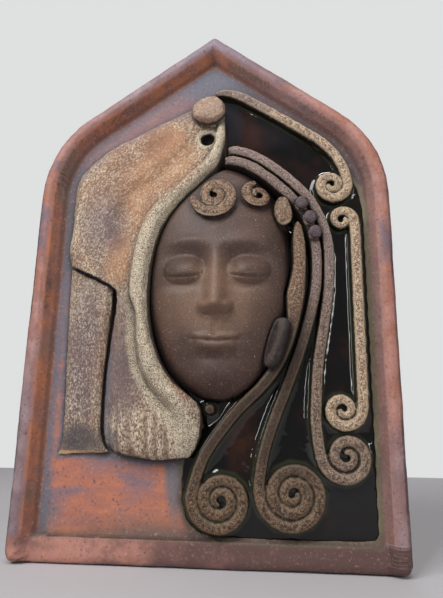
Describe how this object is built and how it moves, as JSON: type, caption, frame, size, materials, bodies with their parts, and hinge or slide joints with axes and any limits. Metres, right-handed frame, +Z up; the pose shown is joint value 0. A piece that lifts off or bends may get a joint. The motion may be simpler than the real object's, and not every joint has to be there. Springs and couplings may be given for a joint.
{
  "type": "decorative wall plaque",
  "caption": "Pointed-arch stoneware wall plaque: a rolled rim around a draped veil and a calm mask with long locks ending in coils.",
  "frame": {"origin": "on the flat back, on the middle line, 42 mm below the ridge and 9 mm above the hanging recess: the face that rests on the wall", "axes": "+Z up the plaque, -Y out of its front, +Y into the wall, +X to the right seen from the front"},
  "size_m": [0.25, 0.0534, 0.38],
  "materials": {
    "rust_clay": "dry iron-rust stoneware with mauve rim",
    "cream_slip": "satin cream slip with brown speckle",
    "speckled_coil": "satin brown and cream speckle",
    "dark_mask": "matte dark brown",
    "purple_pellet": "matte purple brown",
    "black_glaze": "pooled glossy black glass"
  },
  "bodies": {
    "root": {"frame_slab": "rust_clay", "veil": "cream_slip", "veil_flap": "cream_slip", "veil_knob": "cream_slip", "mask": "dark_mask", "lock_outer": "speckled_coil", "lock_middle": "speckled_coil", "lock_inner": "speckled_coil", "border_coil": "speckled_coil", "side_scroll": "speckled_coil", "brow_curl_1": "speckled_coil", "brow_curl_2": "speckled_coil", "brow_drop": "speckled_coil", "chin_button": "speckled_coil", "crown_bead_1": "purple_pellet", "crown_bead_2": "purple_pellet", "crown_bead_3": "purple_pellet", "temple_pad": "purple_pellet"}
  },
  "joints": []
}
